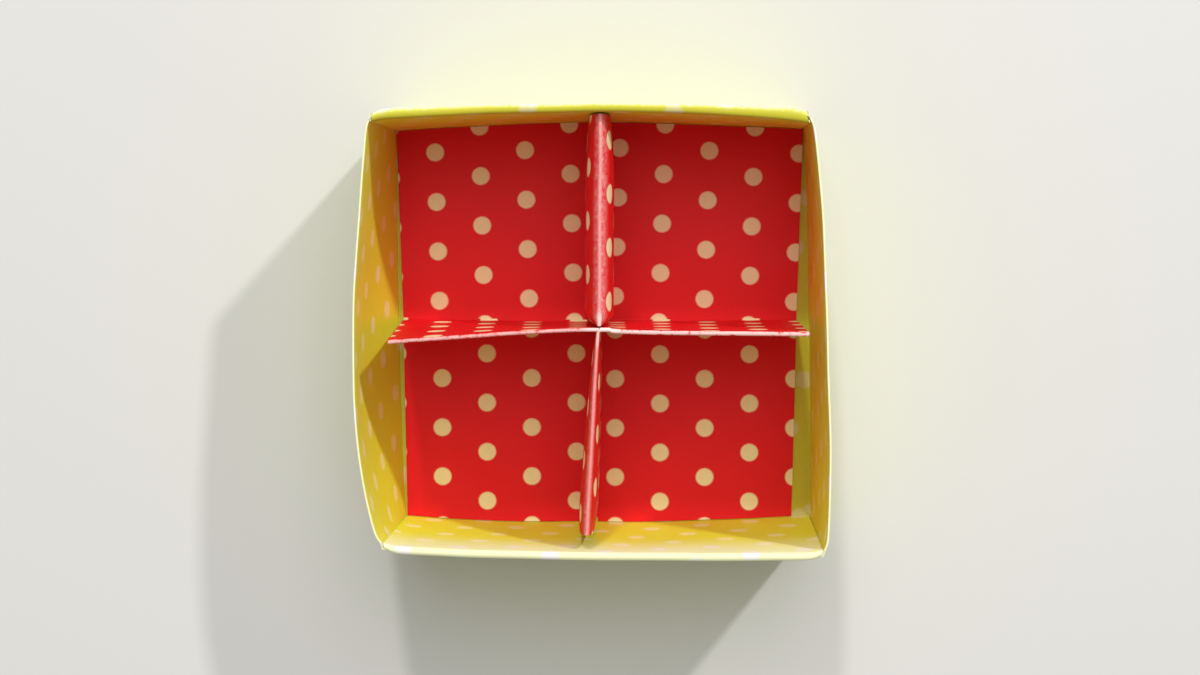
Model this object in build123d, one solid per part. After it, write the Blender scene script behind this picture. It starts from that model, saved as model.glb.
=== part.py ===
from build123d import *
import os
from math import cos, exp, radians, sin, sqrt, tan

# An open square box folded from one square sheet, with a cross folded from a second
# sheet standing in it. The origin is the centre of the box's underside, +Z is up,
# +X is east and +Y is north. All lengths are millimetres.

# Paper of the box
box_sheet = 150.0          # side of the square sheet that the box is folded from
box_paper = 0.10           # thickness of one layer
box_layer_gap = 0.05       # air between two layers of a folded wall
crease_radius = 0.05       # inside radius of a sharp crease

# How the folded walls stand
rack_angle = 1.4           # the box has racked: its south side has slid east
foot_bow = {"south": 0.55, "east": 0.25, "north": 0.35, "west": 0.50}
rim_bow = {"south": 0.40, "east": 0.90, "north": 0.65, "west": 2.30}
bow_lopsided = {"south": -0.27, "east": 0.07, "north": 0.0, "west": 0.48}
# 2 is a parabola, more is fuller towards the corners
bow_fullness = {"south": 2.3, "east": 3.1, "north": 1.7, "west": 2.15}
# How far east and north the top of each corner leans
corner_lean = {
    "south_west": (-0.80, 0.0),
    "south_east": (-0.15, -0.85),
    "north_east": (-0.85, -0.15),
    "north_west": (-0.75, -0.35),
}

# Where layers join inside the folded sheet
hair = 0.01                # a crease stands this much above the flat paper beside it
overlap = 0.60             # length over which a crease runs on into the flat paper
tip_gap = 0.10             # between the four tips of the sheet on the floor
fold_width = 0.10          # width of the folded edge along a gusset's diagonal

# Paper of the divider
sheet_ratio = 2 / 3        # side of the divider's sheet over the side of the box's
divider_paper = 0.10       # thickness of one layer
tuck_pitch = 0.24          # from one layer to the next inside the north arm
panel_slack = 0.65         # a floor panel is this much shorter than half the box's inside
seat_gap = 0.0             # the divider lies flat on the tips of the box's sheet
north_rise = 0.10          # the fat north arm's ridge stands this much higher
crossing = (-0.30, 0.50)   # where the north arm begins, beside the middle of the box
arm_setback = 0.45         # the east and west arms' middle lies this far south of it
arm_start = 1.30           # the east and west arms have floor panels from here outwards

# How each arm of the divider stands at its outer end, to the outside of its paper: half
# width at its foot and at its widest, how early it opens to those (1 is evenly), how far
# all of it swings and how far its top leans sideways (north or east is positive), how early
# it takes up that lean, and how much shorter its ridge is than its foot
arm_foot = {"north": 1.70, "east": 0.40, "south": 1.30, "west": 0.45}
arm_width = {"north": 1.80, "east": 0.25, "south": 1.25, "west": 0.30}
arm_opening = {"north": 0.1, "east": 1.0, "south": 0.5, "west": 1.0}
arm_swing = {"north": 0.0, "east": 0.0, "south": -1.35, "west": 0.0}
arm_lean = {"north": 0.15, "east": -0.80, "south": -0.20, "west": -1.15}
lean_onset = {"north": 1.0, "east": 0.35, "south": 0.1, "west": 0.9}
arm_cutback = {"north": 0.25, "east": 1.30, "south": 0.85, "west": 0.80}
arch_depth = 1.9           # this far below its ridge an arm is two thirds of its width
blunt_depth = 0.3          # the same for the north arm at the crossing

# Gaps left between the divider's floor panels and the straight walls: at the end of each
# arm, and east-west and north-south at each outer corner
edge_gap = {"north": 0.37, "east": 1.07, "south": 0.27, "west": 0.47}
corner_gap = {
    "north_east": (0.26, 0.77),
    "south_east": (2.08, 0.57),
    "south_west": (0.26, 0.37),
    "north_west": (0.28, 0.77),
}

box_side = box_sheet / (2 * sqrt(2))
wall_height = box_side / 2
half_side = box_side / 2
layer_pitch = box_paper + box_layer_gap

# Thick walls have six layers at the rim, thin walls have two
thick_layers = 6
thin_layers = 2
thick_wall = (thick_layers - 1) * layer_pitch + box_paper
thin_wall = (thin_layers - 1) * layer_pitch + box_paper
turn_radius = (layer_pitch + box_paper) / 2
rim_centre = wall_height - turn_radius
bend = box_paper + crease_radius

# A corner post is the part of a corner where the layers of two walls turn
post_along = 2 * layer_pitch + turn_radius
post_across = thick_wall
post_height = wall_height + layer_pitch

stations = [-1.0, -0.75, -0.4, 0.0, 0.4, 0.75, 1.0]
sides = ["south", "east", "north", "west"]
wall_ends = {
    "south": ("south_west", "south_east"),
    "east": ("south_east", "north_east"),
    "north": ("north_east", "north_west"),
    "west": ("north_west", "south_west"),
}


def rack_shift(y):
    """How far east a place at this y has slid."""
    return -y * tan(radians(rack_angle))


def wall_length(side):
    """Length of a wall between the corner posts at its ends."""
    if side in ("south", "north"):
        return 2 * (half_side - post_along)
    return 2 * (half_side - post_across)


def wall_plane(side, s):
    """Plane across a wall at distance s from its middle: x runs inward, y runs up."""
    end_shift = rack_shift(half_side - post_across)
    if side == "south":
        return Plane((s - end_shift, -half_side, 0), x_dir=(0, 1, 0), z_dir=(1, 0, 0))
    if side == "north":
        return Plane((end_shift - s, half_side, 0), x_dir=(0, -1, 0), z_dir=(-1, 0, 0))
    if side == "east":
        return Plane((half_side + rack_shift(s), s, 0), x_dir=(-1, 0, 0), z_dir=(0, 1, 0))
    return Plane((rack_shift(-s) - half_side, -s, 0), x_dir=(1, 0, 0), z_dir=(0, -1, 0))


def bow(side, s, z):
    """How far the wall stands out from a straight upright one, at s and height z."""
    q = max(-1.0, min(1.0, 2 * s / wall_length(side)))
    shape = (1 - abs(q) ** bow_fullness[side]) * (1 + bow_lopsided[side] * q)
    return shape * (foot_bow[side] + (rim_bow[side] - foot_bow[side]) * z / wall_height)


def wall_lean(side, s):
    """How far the rim has moved inwards and along the wall at distance s."""
    plane = wall_plane(side, s)
    share = s / wall_length(side) + 0.5
    start, end = (Vector(*corner_lean[corner], 0) for corner in wall_ends[side])
    lean = start + (end - start) * share
    return lean.dot(plane.x_dir), lean.dot(plane.z_dir)


def wall_face(path, side, s):
    """Face across a wall at distance s, from a closed path of (in, up) points; three
    points in a step make an arc. The face leans as the wall does."""
    plane = wall_plane(side, s)
    lean_in, lean_along = wall_lean(side, s)
    slope = lean_along / wall_height
    leaning = Plane(plane.origin, x_dir=plane.x_dir, z_dir=plane.z_dir - Vector(0, 0, slope))
    stretch = sqrt(1 + slope ** 2)
    edges = []
    for step in path:
        points = [(n - bow(side, s, z) + lean_in * z / wall_height, z * stretch) for n, z in step]
        edges.append(Line(*points) if len(points) == 2 else ThreePointArc(*points))
    return leaning * make_face(edges).face()


def pressed(centre, z, radius, turn):
    """Steps over a hidden fold, which is pressed to three flats; turn is 1 to run over it
    towards larger values and -1 to run back."""
    half = turn * radius / 2
    top = z + radius * sqrt(3) / 2
    points = [(centre - 2 * half, z), (centre - half, top), (centre + half, top), (centre + 2 * half, z)]
    return [[a, b] for a, b in zip(points, points[1:])]


def hairpin_path(outer, inner):
    """Section of a fold over the rim, from layer outer to layer inner, with open ends."""
    n0 = outer * layer_pitch
    n1 = inner * layer_pitch + box_paper
    middle = (n0 + n1) / 2
    out_r = (n1 - n0) / 2
    in_r = out_r - box_paper
    low = layer_pitch + box_paper + crease_radius
    return [
        [(n0, low), (n0, rim_centre)],
        *pressed(middle, rim_centre, out_r, 1),
        [(n1, rim_centre), (n1, low)],
        [(n1, low), (n1 - box_paper, low)],
        [(n1 - box_paper, low), (n1 - box_paper, rim_centre)],
        *pressed(middle, rim_centre, in_r, -1),
        [(n0 + box_paper, rim_centre), (n0 + box_paper, low)],
        [(n0 + box_paper, low), (n0, low)],
    ]


def wall_path(inner):
    """Section of a whole wall: floor crease, outer layer, rim, inner layer, tip crease."""
    t = box_paper
    n1 = inner * layer_pitch + t
    middle = n1 / 2
    out_r = n1 / 2
    in_r = out_r - t
    floor_end = bend + overlap
    floor_low, floor_high = hair, t - hair
    tip_end = n1 + overlap
    tip_low, tip_high = layer_pitch + hair, layer_pitch + t - hair
    return [
        [(floor_end, floor_low), (0, floor_low)],
        [(0, floor_low), (0, rim_centre)],
        [(0, rim_centre), (middle, rim_centre + out_r), (n1, rim_centre)],
        [(n1, rim_centre), (n1, tip_high)],
        [(n1, tip_high), (tip_end, tip_high)],
        [(tip_end, tip_high), (tip_end, tip_low)],
        [(tip_end, tip_low), (n1 - t, tip_low)],
        [(n1 - t, tip_low), (n1 - t, rim_centre)],
        [(n1 - t, rim_centre), (middle, rim_centre + in_r), (t, rim_centre)],
        [(t, rim_centre), (t, floor_high)],
        [(t, floor_high), (floor_end, floor_high)],
        [(floor_end, floor_high), (floor_end, floor_low)],
    ]


def along_wall(side, path):
    """Solid of one section carried along a bowed wall."""
    length = wall_length(side)
    return loft([wall_face(path, side, q * length / 2) for q in stations], ruled=True)


def slab(points, low, high):
    """Flat paper: a polygon of plan points between two heights."""
    outline = Polyline(*points, close=True)
    return extrude(Pos(0, 0, low) * make_face(outline).face(), high - low, dir=(0, 0, 1))


def floor_place(side, s, n):
    """Plan place of a point s along a wall and n inwards of its outer face."""
    if side == "south":
        x, y = s, n - half_side
    elif side == "north":
        x, y = -s, half_side - n
    elif side == "east":
        x, y = half_side - n, s
    else:
        x, y = n - half_side, -s
    return (x + rack_shift(y), y)


def base_sheet():
    """The middle of the sheet, flat under the box, with its four bowed creases."""
    inset = bend + crease_radius
    reach = half_side - inset
    edges = []
    for side in sides:
        points = [floor_place(side, -reach, inset)]
        for q in stations[1:-1]:
            s = q * wall_length(side) / 2
            points.append(floor_place(side, s, inset - bow(side, s, 0)))
        points.append(floor_place(side, reach, inset))
        edges.append(Spline(*points))
    return extrude(make_face(edges).face(), box_paper, dir=(0, 0, 1))


def sheet_tip(side):
    """One corner of the sheet, lying on the base sheet with its tip at the middle."""
    inner = thick_wall if side in ("south", "north") else thin_wall
    edge_n = inner + bend
    corner_s = half_side - post_across - bend
    corner_n = half_side - corner_s
    across = tip_gap / sqrt(2)
    points = []
    for q in stations:
        s = q * corner_s
        points.append(floor_place(side, s, edge_n - bow(side, s, 0)))
    crease = Spline(*points)
    right = floor_place(side, corner_s - across, corner_n)
    left = floor_place(side, across - corner_s, corner_n)
    middle = floor_place(side, 0, half_side - tip_gap)
    cut_edges = Polyline(points[-1], right, middle, left, points[0])
    tip = Pos(0, 0, layer_pitch) * make_face([crease, *cut_edges.edges()]).face()
    return extrude(tip, box_paper, dir=(0, 0, 1))


def gusset_layers(side):
    """The two tucked corners inside a thick wall, each folded along its diagonal."""
    inset = 0.2 * box_paper
    first = layer_pitch + inset
    last = 2 * layer_pitch + box_paper - inset
    low = layer_pitch + bend
    filler_path = [
        [(first, low), (first, rim_centre)],
        [(first, rim_centre), (last, rim_centre)],
        [(last, rim_centre), (last, low)],
        [(last, low), (first, low)],
    ]
    rise = fold_width * sqrt(2)
    top = wall_height + layer_pitch
    shift = floor_place(side, 0, post_across)[0]
    low_end, peak = tip_gap, top + tip_gap
    valley = [(-half_side, -1), (-half_side, low_end), (0, peak), (half_side, low_end), (half_side, -1)]
    chevron = [(-half_side, low_end), (0, peak), (half_side, low_end)]
    chevron += [(half_side, low_end + rise), (0, peak + rise), (-half_side, low_end + rise)]
    across = half_side + 2 * max(rim_bow.values())

    def prism(outline):
        face = Plane.XZ * make_face(Polyline(*outline, close=True)).face()
        return Pos(shift, 0, 0) * extrude(face, across, both=True)

    diagonal_folds = along_wall(side, filler_path) & prism(chevron)
    layers = along_wall(side, hairpin_path(1, 4)) + along_wall(side, hairpin_path(2, 3))
    return (layers - prism(valley)) + diagonal_folds


def ring_part(centre, inner, outer, start, turn):
    """Plan face of a turn of the paper about a centre, pressed to flats of 45 degrees."""
    angles = [radians(start + step) for step in range(0, turn + 45, 45)]
    outline = [(centre[0] + outer * cos(a), centre[1] + outer * sin(a)) for a in angles]
    outline += [(centre[0] + inner * cos(a), centre[1] + inner * sin(a)) for a in reversed(angles)]
    return make_face(Polyline(*outline, close=True)).face()


def strip(x0, x1, y0, y1):
    """Plan face of a straight stretch of paper."""
    return make_face(Polyline((x0, y0), (x1, y0), (x1, y1), (x0, y1), close=True)).face()


def corner_post(name):
    """The turns of all the layers at one corner, rising along the corner's lean. Drawn for
    the north east corner with its outer corner at the origin, and mirrored to the others."""
    east = 1 if "east" in name else -1
    north = 1 if "north" in name else -1
    t, p, r = box_paper, layer_pitch, turn_radius
    inner_turn = box_layer_gap / 2
    m, n = -post_along, -post_across
    thin, tuck = -(p + bend), -(3 * p + bend)
    faces = [
        strip(m, -r, -t, 0),
        strip(m, -r, -p - t, -p),
        ring_part((-r, -r), inner_turn, r, -90, 180),
        strip(m, -bend, -2 * p - t, -2 * p),
        ring_part((-bend, -2 * p - bend), crease_radius, bend, 0, 90),
        strip(-t, 0, n, -2 * p - bend),
        strip(m, thin, -3 * p - t, -3 * p),
        ring_part((thin, tuck), crease_radius, bend, 0, 90),
        strip(-p - t, -p, n, tuck),
        ring_part((m, -4 * p - r), inner_turn, r, -90, 180),
    ]
    lean_x, lean_y = corner_lean[name]
    rise = Vector(east * lean_x, north * lean_y, wall_height)
    length = rise.length * post_height / wall_height
    post = Part() + [extrude(face, length, dir=rise) for face in faces]
    if east < 0:
        post = post.mirror(Plane.YZ)
    if north < 0:
        post = post.mirror(Plane.XZ)
    place_y = north * half_side
    shift = rack_shift(north * (half_side - post_across))
    return Pos(east * half_side + shift, place_y, 0) * post


def make_outer_box():
    """The yellow box: one sheet, so every piece of it below is fused into one solid."""
    pieces = [base_sheet()]
    for side in sides:
        thick = side in ("south", "north")
        pieces.append(along_wall(side, wall_path(thick_layers - 1 if thick else thin_layers - 1)))
        pieces.append(sheet_tip(side))
        if thick:
            pieces.append(gusset_layers(side))
    for corner in corner_lean:
        pieces.append(corner_post(corner))
    return Part() + pieces


arms = ["north", "east", "south", "west"]
outward = {"north": (0, 1), "east": (1, 0), "south": (0, -1), "west": (-1, 0)}
seat = layer_pitch + box_paper + seat_gap
divider_height = box_sheet * sheet_ratio / 2 - (half_side - thick_wall - panel_slack)
ridge_top = seat + divider_height
divider_bend = divider_paper + crease_radius
panel_inset = divider_bend + crease_radius
pair_radius = (tuck_pitch + divider_paper) / 2
north_start = 4 * tuck_pitch + pair_radius
tuck_drop = tuck_pitch + divider_paper
turns_height = divider_height + north_rise - north_start
# Depths below an arm's ridge at which the outline of its section is drawn
arch_steps = [pair_radius, 0.45, 0.9, 1.6, 2.6, 4.2, 7.0, 12.0]
# Inside the north arm: sideways place of each small fold, and how far the centre of its
# ridge lies below the arm's own ridge, at the crossing and further out
small_folds = {-2 * tuck_pitch: (0.95, 1.55), 0.0: (0.66, 0.66), 2 * tuck_pitch: (0.95, 1.55)}
# The folds along the diagonals reach up to this one of the steps of the second layer, and
# bite this far into the layers that they join
diagonal_step = 3
diagonal_drop = tuck_drop + arch_steps[diagonal_step]
bite = 0.3 * divider_paper
arm_stations = [0.0, 0.1, 0.5, 1.0]
south_start = arm_setback + pair_radius + crease_radius
straight_from = {"north": 0.0, "east": arm_start, "south": south_start, "west": arm_start}


def arm_origin(arm):
    """Plan point that distances along an arm are measured from."""
    x, y = crossing
    return (x, y - arm_setback) if arm in ("east", "west") else (x, y)


def arm_plane(arm, r):
    """Plane across an arm at distance r from the crossing: y runs up, x runs to the
    left of someone who looks outwards along the arm."""
    x, y = arm_origin(arm)
    dx, dy = outward[arm]
    return Plane((x + dx * r, y + dy * r, 0), x_dir=(-dy, dx, 0), z_dir=(dx, dy, 0))


def arm_reach(arm):
    """How far the arm's foot runs from the crossing."""
    x, y = arm_origin(arm)
    if arm in ("north", "south"):
        wall = half_side - thick_wall
        return wall - edge_gap[arm] - outward[arm][1] * y
    return half_side - thin_wall - edge_gap[arm] - outward[arm][0] * x


def arm_share(arm, r):
    """0 where the arm leaves the crossing, 1 at its outer end."""
    start = straight_from[arm]
    return max(0.0, (r - start) / (arm_reach(arm) - start))


def arm_opened(arm, r):
    """0 where the arm leaves the crossing, 1 where it has its full width."""
    return arm_share(arm, r) ** arm_opening[arm]


def arm_size(arm, r):
    """Half width at the foot and at the widest, and the depth of the arch, at distance r."""
    opened = arm_opened(arm, r)
    start = north_start if arm == "north" else pair_radius
    first_depth = blunt_depth if arm == "north" else arch_depth
    foot = start + (arm_foot[arm] - start) * opened
    width = start + (arm_width[arm] - start) * opened
    return foot, width, first_depth + (arch_depth - first_depth) * opened


def arm_top(arm):
    """Height of an arm's ridge."""
    return ridge_top + (north_rise if arm == "north" else 0.0)


def arm_shift(arm, r, z):
    """How far to the left the section has moved at height z, as the arm swings and leans."""
    dx, dy = outward[arm]
    share = arm_share(arm, r)
    height = (z - seat) / divider_height
    return (dx - dy) * (arm_swing[arm] * share + arm_lean[arm] * share ** lean_onset[arm] * height)


def ply_sides(arm, r, inset, drop, low):
    """Points down the outer and the inner side of the right ply of a layer. The layer lies
    inset inside the arm's outermost one, with its ridge drop lower, and ends at height low."""
    foot, width, arch = arm_size(arm, r)
    top = arm_top(arm) - drop
    start = pair_radius - divider_paper / 2
    opening = width - divider_paper / 2 - inset - start
    outer, inner = [], []
    for depth in [*arch_steps, top - low]:
        fade = exp(-depth / arch)
        middle = start + opening * (1 - fade) + (foot - width) * (depth / divider_height) ** 2
        half = divider_paper / 2 * sqrt(1 + (opening / arch * fade) ** 2)
        outer.append((middle + half, top - depth))
        inner.append((middle - half, top - depth))
    return outer, inner


def mirrored(points):
    return [(-c, z) for c, z in points]


def steps(points):
    """The straight steps from each point to the next."""
    return [[a, b] for a, b in zip(points, points[1:])]


def arm_face(path, arm, r, back=0.0):
    """Face across an arm from a closed path of (sideways, up) points. With back it leans
    in, and at the ridge it is that much nearer the crossing than at the foot."""
    upright = arm_plane(arm, r)
    slope = back / divider_height
    leaning = Plane(upright.origin, x_dir=upright.x_dir, z_dir=upright.z_dir + Vector(0, 0, slope))
    stretch = sqrt(1 + slope ** 2)
    edges = []
    for step in path:
        points = [(c + arm_shift(arm, r, z), z * stretch) for c, z in step]
        edges.append(Line(*points) if len(points) == 2 else ThreePointArc(*points))
    return leaning * make_face(edges).face()


def arm_path(arm, r):
    """Section of an arm: floor crease, one ply, ridge, other ply, floor crease."""
    low, high = seat + hair, seat + divider_paper - hair
    outer, inner = ply_sides(arm, r, 0.0, 0.0, low)
    outer[-1] = (outer[-1][0], high)
    end = outer[-1][0] + crease_radius + overlap
    foot = [outer[-1], (end, high), (end, low), inner[-1]]
    top = arm_top(arm)
    return [
        *steps(foot),
        *steps(inner[::-1]),
        [inner[0], (0, top - divider_paper), *mirrored(inner[:1])],
        *steps(mirrored(inner)),
        *steps(mirrored(foot[::-1])),
        *steps(mirrored(outer[::-1])),
        [*mirrored(outer[:1]), (0, top), outer[0]],
        *steps(outer),
    ]


def second_path(r):
    """Section of the layer just inside the north arm, open at the bottom."""
    outer, inner = ply_sides("north", r, tuck_pitch, tuck_drop, seat + divider_bend)
    top = arm_top("north") - tuck_drop
    return [
        *steps([outer[-1], *inner[::-1], (0, top - divider_paper)]),
        *steps([(0, top - divider_paper), *mirrored(inner), *mirrored(outer[-1:])]),
        *steps([*mirrored(outer[::-1]), (0, top), *outer]),
    ]


def tuck_path(place, radius, centre_z):
    """Section of two plies with a ridge between them, open at the bottom."""
    in_r = radius - divider_paper
    low = seat + divider_bend
    return [
        [(place + radius, low), (place + radius, centre_z)],
        *pressed(place, centre_z, radius, -1),
        [(place - radius, centre_z), (place - radius, low)],
        [(place - radius, low), (place - in_r, low)],
        [(place - in_r, low), (place - in_r, centre_z)],
        *pressed(place, centre_z, in_r, 1),
        [(place + in_r, centre_z), (place + in_r, low)],
        [(place + in_r, low), (place + radius, low)],
    ]


def along_arm(arm, path_at):
    """Solid of a section carried along an arm; path_at gives the path at a distance. Its
    end leans back, because the sheet's edge isn't quite square to the folds."""
    start = straight_from[arm]
    length = arm_reach(arm) - start
    sections = []
    for q in arm_stations:
        r = start + q * length
        back = arm_cutback[arm] if q == 1.0 else 0.0
        sections.append(arm_face(path_at(r), arm, r, back))
    return loft(sections, ruled=True)


def arm_prism(arm, outline):
    """Prism right across an arm from an outline of (outwards, up) points."""
    x, y = arm_origin(arm)
    dx, dy = outward[arm]
    side_on = Plane((x, y, 0), x_dir=(dx, dy, 0), z_dir=(dy, -dx, 0))
    face = side_on * make_face(Polyline(*outline, close=True)).face()
    return extrude(face, 2 * max(arm_width.values()), both=True)


def make_arm(arm):
    """One arm: two plies that stand on the floor panels and meet in a ridge."""
    return along_arm(arm, lambda r: arm_path(arm, r))


def fold_path(place, r):
    """Section of a small fold inside the north arm."""
    at_crossing, further_out = small_folds[place]
    depth = at_crossing + (further_out - at_crossing) * arm_opened("north", r)
    return tuck_path(place, pair_radius, arm_top("north") - depth)


def wide_diagonal(side, r):
    """Section of the fold that joins the second layer to a small fold, along a diagonal."""
    low, high = seat + divider_bend, arm_top("north") - diagonal_drop
    near = side * (2.5 * tuck_pitch - bite)
    outer, inner = ply_sides("north", r, tuck_pitch, tuck_drop, low)
    line = [(side * ((a + b) / 2 + bite), z) for (a, z), (b, _) in zip(outer, inner)]
    return steps([(near, low), (near, high), *line[diagonal_step:], (near, low)])


def narrow_diagonal(side):
    """The same between a small fold and the middle one."""
    near, far = side * (tuck_pitch / 2 - bite), side * (1.5 * tuck_pitch + bite)
    low, high = seat + divider_bend, arm_top("north") - diagonal_drop
    return steps([(near, low), (near, high), (far, high), (far, low), (near, low)])


def north_tucks():
    """The sheet's middle square, folded into eight right triangles inside the north arm."""
    layers = [along_arm("north", second_path)]
    for place in small_folds:
        layers.append(along_arm("north", lambda r: fold_path(place, r)))
    far = arm_reach("north") + 1
    valley = [(0, seat), (far, seat + far), (far, seat - 1), (0, seat - 1)]
    rise = fold_width * sqrt(2)
    band = arm_prism("north", [(0, seat), (far, seat + far), (far, seat + far + rise), (0, seat + rise)])
    folds = []
    for side in (-1, 1):
        folds.append(along_arm("north", lambda r: wide_diagonal(side, r)) & band)
        folds.append(along_arm("north", lambda r: narrow_diagonal(side)) & band)
    return ((Part() + layers) - arm_prism("north", valley)) + folds


def crossing_turns():
    """The upright turns of the layers where the four arms meet: the north arm's own
    plies turn back into it, and the plies of the east and west arms turn into it."""
    t = divider_paper
    outermost = 4 * tuck_pitch
    faces = [ring_part((outermost, 0), pair_radius - t, pair_radius, 180, 180)]
    for place, ply in ((2.5 * tuck_pitch, tuck_pitch / 2), (1.5 * tuck_pitch, -tuck_pitch / 2)):
        centre = (place + t / 2 + crease_radius, ply - arm_setback + t / 2 + crease_radius)
        faces.append(strip(place - t / 2, place + t / 2, centre[1], 0))
        faces.append(ring_part(centre, crease_radius, divider_bend, 180, 90))
    turns = []
    for face in faces:
        turn = extrude(face, turns_height, dir=(0, 0, 1))
        turns.append(Pos(*crossing, seat) * turn)
        turns.append(Pos(*crossing, seat) * turn.mirror(Plane.YZ))
    return turns


def crossing_plies():
    """The plies of the three thin arms, from those turns to the start of their floors."""
    turned = 1.5 * tuck_pitch + divider_paper / 2 + crease_radius
    plies = []
    for arm, start in (("east", turned), ("west", turned), ("south", 0.0)):
        face = arm_face(tuck_path(0, pair_radius, ridge_top - pair_radius), arm, start)
        plies.append(extrude(face, straight_from[arm] - start, dir=(*outward[arm], 0)))
    return plies


def foot_place(arm, side, r):
    """Plan point on the floor beside an arm's foot: side is 1 on its left, -1 on its right."""
    c = side * (arm_size(arm, r)[0] + panel_inset) + arm_shift(arm, r, seat)
    point = arm_plane(arm, r).from_local_coords(Vector(c, 0, 0))
    return (point.X, point.Y)


def floor_panel(corner, right_of, left_of):
    """Floor panel between two arms, on the right of one and on the left of the next."""
    a0 = foot_place(right_of, -1, straight_from[right_of])
    a1 = foot_place(right_of, -1, arm_reach(right_of))
    b0 = foot_place(left_of, 1, straight_from[left_of])
    b1 = foot_place(left_of, 1, arm_reach(left_of))
    inner = (a0[0], b0[1]) if right_of in ("north", "south") else (b0[0], a0[1])
    east = 1 if "east" in corner else -1
    north = 1 if "north" in corner else -1
    gap_x, gap_y = corner_gap[corner]
    wall_x = half_side - thin_wall
    wall_y = half_side - thick_wall
    outer = (east * (wall_x - gap_x) + rack_shift(north * wall_y), north * (wall_y - gap_y))
    return slab([inner, a1, outer, b1], seat, seat + divider_paper)


def make_divider():
    """The red divider: one sheet, so every piece of it below is fused into one solid."""
    pieces = [make_arm(arm) for arm in arms]
    pieces.append(north_tucks())
    pieces += crossing_turns() + crossing_plies()
    pieces.append(floor_panel("north_east", "north", "east"))
    pieces.append(floor_panel("south_east", "east", "south"))
    pieces.append(floor_panel("south_west", "south", "west"))
    pieces.append(floor_panel("north_west", "west", "north"))
    return Part() + pieces


if __name__ == "__main__":
    os.makedirs("parts", exist_ok=True)
    export_step(make_outer_box(), "parts/outer_box.step")
    export_step(make_divider(), "parts/divider.step")
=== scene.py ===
import bpy
from math import cos, exp, pi, radians, sin, tan
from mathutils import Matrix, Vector, noise


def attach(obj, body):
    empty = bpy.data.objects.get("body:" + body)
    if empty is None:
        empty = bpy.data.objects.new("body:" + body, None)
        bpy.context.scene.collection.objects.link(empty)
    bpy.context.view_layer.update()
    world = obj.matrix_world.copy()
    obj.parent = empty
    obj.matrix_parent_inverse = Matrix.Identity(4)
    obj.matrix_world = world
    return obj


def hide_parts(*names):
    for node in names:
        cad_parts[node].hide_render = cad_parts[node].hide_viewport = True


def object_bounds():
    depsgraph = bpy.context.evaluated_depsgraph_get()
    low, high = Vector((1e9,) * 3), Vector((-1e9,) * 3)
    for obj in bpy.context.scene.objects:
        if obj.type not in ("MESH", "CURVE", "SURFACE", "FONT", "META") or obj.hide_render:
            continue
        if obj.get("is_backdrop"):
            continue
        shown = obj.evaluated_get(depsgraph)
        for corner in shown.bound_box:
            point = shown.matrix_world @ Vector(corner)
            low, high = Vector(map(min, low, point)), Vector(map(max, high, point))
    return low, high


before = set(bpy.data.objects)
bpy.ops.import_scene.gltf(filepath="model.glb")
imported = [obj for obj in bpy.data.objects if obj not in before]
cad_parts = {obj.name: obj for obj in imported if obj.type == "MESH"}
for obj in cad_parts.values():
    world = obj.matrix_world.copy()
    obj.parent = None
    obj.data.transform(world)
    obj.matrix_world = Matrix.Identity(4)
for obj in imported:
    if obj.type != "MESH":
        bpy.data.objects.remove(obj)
cad_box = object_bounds()

# The box is one square sheet of printed paper, folded by hand without a cut. Its corners
# meet in the middle of the floor, its walls are folded over at the rim, and the spare
# paper of its four corners is tucked inside the north and south walls, in six layers.
mm = 0.001
box_sheet = 150.0
paper_thick = 0.10
layer_pitch = 0.15
thick_count = 6
thin_count = 2
layers = {"south": thick_count, "east": thin_count, "north": thick_count, "west": thin_count}
half_side = box_sheet / 4 / 2 ** 0.5
wall_height = half_side
rim_centre = wall_height - (layer_pitch + paper_thick) / 2
crease_reach = 0.20
tip_drop = 0.03
thick_wall_depth = (thick_count - 1) * layer_pitch + paper_thick
thin_wall_depth = (thin_count - 1) * layer_pitch + paper_thick
# At a corner the layers turn in an upright post, this long along the thick wall
post_along = 0.425
post_height = wall_height + layer_pitch

# The box stands out of true: its south side has slid east, its walls bulge and its
# corners lean. Bulges are at the floor, at the rim and, as a belly, between them.
rack = tan(radians(1.4))
foot_bow = {"south": 0.55, "east": 0.25, "north": 0.35, "west": 0.22}
rim_bow = {"south": 0.40, "east": 0.90, "north": 0.65, "west": 2.30}
bow_lopsided = {"south": -0.27, "east": 0.07, "north": 0.0, "west": 0.48}
bow_fullness = {"south": 2.3, "east": 3.1, "north": 1.7, "west": 2.15}
belly = {"south": 0.20, "east": 0.10, "north": 0.0, "west": 1.05}
wave = 0.10
wave_long = 9
wave_tall = 14
wave_apart = 7
corners = {"south_west": (-1, -1), "south_east": (1, -1), "north_east": (1, 1), "north_west": (-1, 1)}
corner_lean = {
    "south_west": (-0.80, 0.0),
    "south_east": (-0.15, -0.85),
    "north_east": (-0.85, -0.15),
    "north_west": (-0.75, -0.35),
}
corner_foot_east = {"south_west": 0.15, "south_east": 0.35, "north_east": 0.60, "north_west": 0.25}
corner_push = 0.50
corner_reach = 1.36

# The inner paper of the thick walls has sprung in, at its foot and at the rim: how far in the
# middle, how much further at the ends, how lopsided that is, and how near the ends it keeps
spring_in = {
    "north": ((-0.16, 0.71, 0.14, 1.2), (0.15, 0.45, -0.25, 2.0)),
    "south": ((0.20, 0.30, 0.0, 3.0), (0.10, 0.0, 0.0, 1.0)),
}

# Each side: the way along it, the way in from it, and the corners where it starts and ends
sides = {
    "south": (Vector((1, 0)), Vector((0, 1)), "south_west", "south_east"),
    "east": (Vector((0, 1)), Vector((-1, 0)), "south_east", "north_east"),
    "north": (Vector((-1, 0)), Vector((0, -1)), "north_east", "north_west"),
    "west": (Vector((0, -1)), Vector((1, 0)), "north_west", "south_west"),
}


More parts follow.
